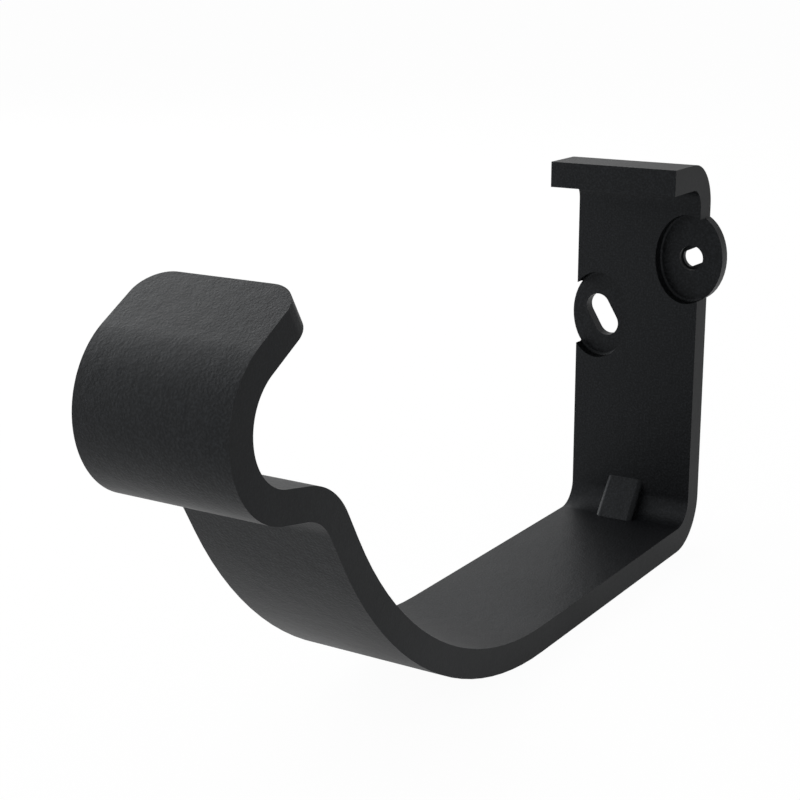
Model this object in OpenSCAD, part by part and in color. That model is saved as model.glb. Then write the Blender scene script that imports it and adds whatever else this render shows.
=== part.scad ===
// Fascia bracket for an ogee roof gutter, cast in one piece.
// X runs across the strap, the front of the gutter is towards -Y and Z is up.
// The origin is on the back face, midway across the strap.

/* [Strap] */
// Width of the strap
strap_w = 26.5; // [24:0.5:40]
// Thickness of the strap
strap_t = 5; // [4:0.1:7]

/* [Back and flange] */
// Overall height of the back, from the underside to the top of the flange
back_h = 79.2; // [72:0.1:110]
// How far the flange reaches forward from the back face
flange_reach = 18; // [13:0.1:30]
// Inner radius of the bend between the back and the flange
top_bend_r = 3.9; // [1:0.1:6]
// Inner radius of the bend between the back and the bottom
rear_bend_r = 4.9; // [1:0.1:8]
// Height of the reference point above the underside
datum_h = 40; // [30:1:50]

/* [Belly] */
// Flat length of the bottom, between its two bends
bottom_run = 59.8; // [20:0.1:120]
// Inner radius of the belly
belly_r = 65.8; // [30:0.1:100]
// Angle through which the belly turns upwards
belly_turn = 61; // [40:0.1:75]
// Straight length of the slope above the belly
slope_run = 5.3; // [1:0.1:30]

/* [Neck and bulb] */
// Underside radius of the neck
neck_r = 8.1; // [2:0.1:20]
// Angle through which the neck turns forwards
neck_turn = 50.3; // [20:0.1:60]
// Straight length of the ledge in front of the neck
ledge_run = 5.4; // [1:0.1:20]
// Inner radius of the bulb
bulb_r = 8.8; // [5:0.1:15]
// Angle through which the bulb turns back over the gutter
bulb_turn = 139.4; // [100:0.1:150]
// Straight length of the lip
lip_run = 11.7; // [8:0.1:20]
// Radius of the lip's two corners
lip_corner_r = 5; // [1:0.1:7]

/* [Fixing pads] */
// Width of a pad
pad_w = 13.3; // [12:0.1:16]
// Height of a pad
pad_h = 18; // [17:0.1:22]
// Thickness of a pad
pad_t = 2.5; // [2:0.1:3.5]
// Radius in the foot of the recess over a pad
recess_r = 0.5; // [0.2:0.1:1]
// Sideways place of the upper pad
upper_pad_x = 10.6; // [8:0.1:14]
// Height of the upper pad above the underside
upper_pad_h = 59.8; // [54:0.1:60]
// Sideways place of the lower pad
lower_pad_x = -8.6; // [-12:0.1:-8]
// Height of the lower pad above the underside
lower_pad_h = 46.4; // [40:0.1:50]

/* [Screw holes] */
// Diameter of the upper hole
hole_d = 5; // [4:0.1:6]
// Diameter of the narrower hole behind the upper hole
land_d = 4.4; // [3.6:0.1:4.8]
// Distance between the two flats of the narrower hole
hole_flats = 3.3; // [2.5:0.1:3.5]
// Depth of the narrower hole
land_t = 1.2; // [0.5:0.1:1.8]
// Slope of the flats
flats_angle = 25; // [0:1:90]
// Width of the lower slot
slot_w = 5.2; // [4:0.1:6]
// Length of the lower slot from end to end
slot_l = 9.1; // [7:0.1:10]
// Slope of the slot
slot_angle = -59; // [-90:1:0]
// How far the slot's middle lies below the middle of its pad
slot_drop = 0.3; // [0:0.1:1]

/* [Gusset] */
// Width of the gusset
gusset_w = 8; // [5:0.1:12]
// Sideways place of the gusset
gusset_x = -1.1; // [-5:0.1:5]
// Height of the gusset above the seat
gusset_h = 7.4; // [7:0.1:15]
// How far the gusset reaches forward from the front of the back
gusset_reach = 5.7; // [5.5:0.1:12]
// Rounding of the gusset's two long edges
gusset_edge_r = 1; // [0.3:0.1:2]

/* [Hidden] */
$fa = 3;
$fs = 0.3;
// Length by which a cut runs past the face that it breaks through
past = 1;
// The recess over a pad goes down to the pad's face
recess_depth = strap_t - pad_t;
// Angle that one flat of a bend turns through
facet_angle = 3;
// The lip's rounded end is drawn slightly wider than the strap, so that its arcs cross the sides
lip_plan_w = strap_w + 0.02;
// From the tab to the lip, the strap has a straight run and then a bend, five times over.
// A positive turn closes over the gutter, and a negative one opens.
runs = [
    flange_reach - top_bend_r - strap_t,
    back_h - top_bend_r - rear_bend_r - 2 * strap_t,
    bottom_run,
    slope_run,
    ledge_run
];
radii = [top_bend_r, rear_bend_r, belly_r, neck_r, bulb_r];
turns = [90, 90, belly_turn, -neck_turn, bulb_turn];
last = len(runs);

// Directions in the side view, where X is forward and Y is up
function along(angle) = [cos(angle), sin(angle)];
function across(angle) = [-sin(angle), cos(angle)];

// Direction of each run, which starts out backwards along the top of the tab
function heading(i) = i == 0 ? 180 : heading(i - 1) + turns[i - 1];

// Start of each run on the strap's outer face
function run_start(i) =
    i == 0 ? [flange_reach, back_h] : bend_centre(i - 1) - arm(i - 1) * across(heading(i));

// Distance from the outer face to the centre of a bend, towards the gutter
function arm(i) = turns[i] > 0 ? strap_t + radii[i] : -radii[i];
function bend_centre(i) =
    run_start(i) + runs[i] * along(heading(i)) + arm(i) * across(heading(i));

function bend_points(i, depth) = let (steps = ceil(abs(turns[i]) / facet_angle))
    [for (k = [0:steps]) bend_centre(i) + (depth - arm(i)) * across(heading(i) + turns[i] * k / steps)];

// One face of the strap from the tab to the lip, at a depth below its outer face
function face(depth) = [
    run_start(0) + depth * across(heading(0)),
    for (i = [0:last - 1]) each bend_points(i, depth),
    run_start(last) + (lip_run + past) * along(heading(last)) + depth * across(heading(last))
];
function reversed(list) = [for (i = [len(list) - 1:-1:0]) list[i]];

// Stands a side view upright, with its forward direction along -Y
module stand_up() translate([0, 0, -datum_h]) rotate([90, 0, -90]) children();

module strap() stand_up() difference() {
    linear_extrude(strap_w, center = true) polygon(concat(face(0), reversed(face(strap_t))));
    translate(run_start(last)) rotate(heading(last)) translate([lip_run, -past, 0])
        rotate([-90, 0, 0]) linear_extrude(strap_t + 2 * past) lip_trim();
}

// What is cut off beyond the lip's end and round its two corners
module lip_trim() difference() {
    translate([-lip_corner_r, -strap_w]) square([lip_corner_r + 2 * past, 2 * strap_w]);
    translate([-2 * lip_corner_r, lip_corner_r - lip_plan_w / 2])
        square([2 * lip_corner_r, lip_plan_w - 2 * lip_corner_r]);
    translate([-2 * lip_corner_r, -lip_plan_w / 2]) square([lip_corner_r, lip_plan_w]);
    for (side = [-1, 1]) translate([-lip_corner_r, side * (lip_plan_w / 2 - lip_corner_r)])
        circle(lip_corner_r);
}

// Turns a drawing of the back's front to face forward, at one of the two pads
module at_pad(x, h) translate([x, 0, h - datum_h]) rotate([90, 0, 0]) children();

module at_both_pads() {
    at_pad(upper_pad_x, upper_pad_h) children();
    at_pad(lower_pad_x, lower_pad_h) children();
}

// Stretches a round piece as wide as a pad into the pad's upright oval
module oval() scale([1, pad_h / pad_w, 1]) children();

// The hollow above a pad's floor, with a round foot to its wall
module recess() oval() rotate_extrude() {
    square([pad_w / 2 - recess_r, recess_depth + past]);
    translate([0, recess_r]) square([pad_w / 2, recess_depth + past - recess_r]);
    translate([pad_w / 2 - recess_r, recess_r]) intersection() {
        circle(recess_r);
        translate([0, -recess_r]) square(recess_r);
    }
}

// Round screw hole that narrows towards the back face, to a hole with two flats
module flatted_hole() {
    translate([0, 0, land_t]) cylinder(h = strap_t, d = hole_d);
    rotate(flats_angle) translate([0, 0, -past]) linear_extrude(strap_t) intersection() {
        circle(d = land_d);
        square([2 * land_d, hole_flats], center = true);
    }
}

module slot() {
    centres = slot_l - slot_w;
    rotate(slot_angle) translate([0, 0, -past]) linear_extrude(strap_t + 2 * past) {
        square([centres, slot_w], center = true);
        for (end = [-1, 1]) translate([end * centres / 2, 0]) circle(d = slot_w);
    }
}

// Rib across the inner corner, with its back and both ends buried inside the strap
module gusset() {
    slope = gusset_h / gusset_reach;
    half = strap_t / 2;
    outset = strap_t + rear_bend_r;
    buried = rear_bend_r + half;
    diagonal = outset - buried * cos(45);
    top = strap_t + gusset_h + half * slope;
    front = strap_t + gusset_reach + half / slope;
    translate([gusset_x, 0, 0]) intersection() {
        stand_up() linear_extrude(gusset_w, center = true)
            polygon([[half, top], [front, half], [outset, half], [diagonal, diagonal], [half, outset]]);
        translate([0, -strap_t - gusset_reach / 2, strap_t + gusset_h / 2 - datum_h])
            rotate([atan(slope), 0, 0]) rotate([90, 0, 0])
            linear_extrude(2 * norm([top, front]), center = true) rounded_back();
    }
}

// Section of the gusset across its slope: a flat with two rounded edges
module rounded_back() {
    reach = gusset_h + gusset_reach;
    translate([-gusset_w / 2, -reach]) square([gusset_w, reach - gusset_edge_r]);
    translate([gusset_edge_r - gusset_w / 2, -reach]) square([gusset_w - 2 * gusset_edge_r, reach]);
    for (side = [-1, 1]) translate([side * (gusset_w / 2 - gusset_edge_r), -gusset_edge_r])
        circle(gusset_edge_r);
}

module bracket() color("#2b2c2e") difference() {
    union() {
        strap();
        at_both_pads() oval() cylinder(d = pad_w, h = pad_t);
        gusset();
    }
    at_both_pads() translate([0, 0, pad_t]) recess();
    at_pad(upper_pad_x, upper_pad_h) flatted_hole();
    at_pad(lower_pad_x, lower_pad_h - slot_drop) slot();
}

bracket();
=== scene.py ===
from math import cos, radians, sin

import bmesh
import bpy
from mathutils import Matrix, Vector


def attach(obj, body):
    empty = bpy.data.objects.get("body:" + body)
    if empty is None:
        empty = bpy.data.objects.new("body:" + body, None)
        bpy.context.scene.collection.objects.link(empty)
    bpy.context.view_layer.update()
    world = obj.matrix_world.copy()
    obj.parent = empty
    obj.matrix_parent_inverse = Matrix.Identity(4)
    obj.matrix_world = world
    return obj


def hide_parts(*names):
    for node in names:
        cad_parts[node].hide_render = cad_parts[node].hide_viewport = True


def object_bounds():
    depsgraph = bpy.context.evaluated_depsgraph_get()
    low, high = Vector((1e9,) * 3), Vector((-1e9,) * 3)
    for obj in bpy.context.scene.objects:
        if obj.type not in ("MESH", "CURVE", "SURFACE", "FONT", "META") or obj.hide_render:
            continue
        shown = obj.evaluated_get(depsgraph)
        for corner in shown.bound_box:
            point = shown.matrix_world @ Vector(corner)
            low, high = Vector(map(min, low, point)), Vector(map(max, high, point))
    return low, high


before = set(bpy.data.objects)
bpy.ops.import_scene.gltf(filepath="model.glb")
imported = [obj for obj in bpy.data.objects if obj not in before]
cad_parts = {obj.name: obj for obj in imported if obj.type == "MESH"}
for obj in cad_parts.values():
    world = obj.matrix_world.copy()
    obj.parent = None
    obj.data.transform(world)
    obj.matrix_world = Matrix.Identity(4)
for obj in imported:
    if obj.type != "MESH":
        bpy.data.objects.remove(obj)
cad_low, cad_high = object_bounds()
scene = bpy.context.scene
scene.view_settings.view_transform = "Standard"

# Camera
# It looks down on the bracket from the front right, close enough for the
# bulb to stand out larger than the back.
turn, rise, roll = radians(32.28), radians(15.18), radians(-0.16)
upwards = Vector((0, 0, 1))
away = Vector((sin(turn) * cos(rise), -cos(turn) * cos(rise), sin(rise)))
level = upwards.cross(away).normalized()
upright = Matrix((level, away.cross(level), away)).transposed()
camera = bpy.data.objects.new("camera", bpy.data.cameras.new("camera"))
camera.data.sensor_width = 36
camera.data.lens = 76.14
camera.data.clip_start, camera.data.clip_end = 0.01, 20
camera.location = (0.14001, -0.31681, 0.0813)
camera.rotation_mode = "QUATERNION"
camera.rotation_quaternion = (upright @ Matrix.Rotation(roll, 3, "Z")).to_quaternion()
scene.collection.objects.link(camera)
scene.camera = camera


# The bracket
# One aluminium casting, screwed on through its two pads, with an arm and a hooked bulb.
# Its black powder coat is finely grained, smoother on the flat sides, and rounds the edges.
class Wire:
    """A socket that takes Python's arithmetic."""

    def __init__(self, nodes, socket):
        self.nodes, self.socket = nodes, socket

    def maths(self, operation, first, second):
        return self.nodes.add("Math", {"operation": operation}, {0: first, 1: second})

    def __add__(self, other):
        return self.maths("ADD", self, other)

    def __rsub__(self, other):
        return self.maths("SUBTRACT", other, self)

    def __mul__(self, other):
        return self.maths("MULTIPLY", self, other)

    __radd__ = __add__
    __rmul__ = __mul__


class Nodes:
    """The nodes of one material or of the room, added one at a time."""

    def __init__(self, owner):
        owner.use_nodes = True
        self.tree = owner.node_tree
        self.tree.nodes.clear()

    def add(self, kind, settings, sockets, output=0):
        node = self.tree.nodes.new("ShaderNode" + kind)
        for name, setting in settings.items():
            if name == "stops":
                for stop, position in zip(node.color_ramp.elements, setting):
                    stop.position = position
            else:
                setattr(node, name, setting)
        for name, given in sockets.items():
            if isinstance(given, Wire):
                self.tree.links.new(given.socket, node.inputs[name])
            else:
                node.inputs[name].default_value = given
        return Wire(self, node.outputs[output]) if node.outputs else node


powder_coat = bpy.data.materials.new("black_powder_coat")
coat = Nodes(powder_coat)
place = coat.add("TexCoord", {}, {}, output="Object")
grain = coat.add("TexNoise", {}, {"Vector": place, "Scale": 2600, "Detail": 1})
orange_peel = coat.add("TexNoise", {}, {"Vector": place, "Scale": 420, "Detail": 2})
clouds = coat.add("TexNoise", {}, {"Vector": place, "Scale": 40, "Detail": 4})
specks = coat.add("ValToRGB", {"stops": (0.42, 0.7)}, {"Fac": grain})

# The strap's flat sides face along X, and they lie half its width from the middle.
half_width, band = 0.01325, 0.0004
facing = coat.add("TexCoord", {}, {}, output="Normal")
dot_product, x_axis = {"operation": "DOT_PRODUCT"}, (1, 0, 0)
sideways = coat.add("VectorMath", dot_product, {0: facing, 1: x_axis}, output="Value")
across = coat.add("VectorMath", dot_product, {0: place, 1: x_axis}, output="Value")
compared = {0: across * across, 1: half_width**2, 2: 2 * half_width * band}
outermost = coat.add("Math", {"operation": "COMPARE"}, compared)
sides = sideways * sideways * outermost

pit_black, speck_grey = (0.0009, 0.0010, 0.0012, 1), (0.0078, 0.0085, 0.0098, 1)
specks_lost, relief_lost, peel_share = 0.7, 0.6, 1.5
black = coat.add(
    "Mix",
    {"data_type": "RGBA"},
    {"Factor": specks * (1 - specks_lost * sides), "A": pit_black, "B": speck_grey},
    output=2,
)
relief = (grain + peel_share * orange_peel) * (1 - relief_lost * sides)
texture = coat.add("Bump", {}, {"Height": relief, "Strength": 1, "Distance": 0.00004})
coat_roughness, cloud_roughness, side_roughness = 0.42, 0.1, 0.09
lacquer = coat.add(
    "BsdfPrincipled",
    {},
    {
        "Base Color": black,
        "Roughness": coat_roughness + cloud_roughness * clouds + side_roughness * sides,
        "Specular IOR Level": 0.21,
        "Specular Tint": (0.9, 0.95, 1, 1),
        "Normal": texture,
    },
)
coat.add("OutputMaterial", {}, {"Surface": lacquer})

same_point, same_plane = 2e-6, radians(0.5)
casting = bmesh.new()
casting.from_mesh(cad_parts["bracket"].data)
bmesh.ops.remove_doubles(casting, verts=casting.verts, dist=same_point)
bmesh.ops.dissolve_limit(
    casting, angle_limit=same_plane, verts=casting.verts, edges=casting.edges
)
for face in casting.faces:
    face.smooth = True
    face.material_index = 0
skin = bpy.data.meshes.new("coated_casting")
casting.to_mesh(skin)
casting.free()
skin.materials.append(powder_coat)
bracket = bpy.data.objects.new("coated_casting", skin)
scene.collection.objects.link(bracket)
edges = bracket.modifiers.new("soft_edges", "BEVEL")
edges.width = 0.00012
edges.segments = 3
edges.limit_method = "ANGLE"
edges.angle_limit = radians(28)
flats = bracket.modifiers.new("flat_faces", "WEIGHTED_NORMAL")
flats.weight = 90
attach(bracket, "root")
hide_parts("bracket")

# Floor, room and lamps
# A white paper sheet far larger than the bracket, in a white room with one wide lamp
# on the left and two weaker ones, low in front and high at the rear.
sheet_half, sheet_gap = 6, 0.0002
sheet = bmesh.new()
bmesh.ops.create_grid(sheet, x_segments=1, y_segments=1, size=sheet_half)
bmesh.ops.translate(sheet, verts=sheet.verts, vec=(0, 0, cad_low.z - sheet_gap))
ground = bpy.data.meshes.new("paper_sheet")
sheet.to_mesh(ground)
sheet.free()
floor = bpy.data.objects.new("paper_sheet", ground)
scene.collection.objects.link(floor)


def plain_white(nodes, seen, mirrored):
    """How much plain white shows: to the camera, and in a gloss or through glass."""
    direct = nodes.add("LightPath", {}, {}, output="Is Camera Ray")
    glossy = nodes.add("LightPath", {}, {}, output="Is Glossy Ray")
    clear = nodes.add("LightPath", {}, {}, output="Is Transmission Ray")
    return seen * direct + mirrored * (glossy + clear)


white = (1, 1, 1, 1)
white_paper = bpy.data.materials.new("white_paper")
paper = Nodes(white_paper)
matt = paper.add("BsdfDiffuse", {}, {"Color": (0.95, 0.95, 0.95, 1)})
glow = paper.add("Emission", {}, {"Color": white, "Strength": 1})
paper_white = plain_white(paper, seen=0.965, mirrored=0.54)
lit = paper.add("MixShader", {}, {0: paper_white, 1: matt, 2: glow})
paper.add("OutputMaterial", {}, {"Surface": lit})
ground.materials.append(white_paper)

scene.world = bpy.data.worlds.new("white_room")
room = Nodes(scene.world)
dim = room.add("Background", {}, {"Color": white, "Strength": 0.55})
bright = room.add("Background", {}, {"Color": white, "Strength": 1})
room_white = plain_white(room, seen=1, mirrored=0.06)
around = room.add("MixShader", {}, {0: room_white, 1: dim, 2: bright})
room.add("OutputWorld", {}, {"Surface": around})

middle = (cad_low + cad_high) / 2
for name, offset, width, power in (
    ("left_lamp", (-0.82, 0.0, 0.38), 0.9, 7.3),
    ("rear_lamp", (-0.49, 0.49, 0.58), 0.6, 1.8),
    ("front_lamp", (-0.75, -0.62, 0.12), 0.6, 0.9),
):
    lamp = bpy.data.lights.new(name, "AREA")
    lamp.size = width
    lamp.energy = power
    holder = bpy.data.objects.new(name, lamp)
    holder.location = middle + Vector(offset)
    holder.rotation_mode = "QUATERNION"
    holder.rotation_quaternion = Vector(offset).to_track_quat("Z", "Y")
    scene.collection.objects.link(holder)
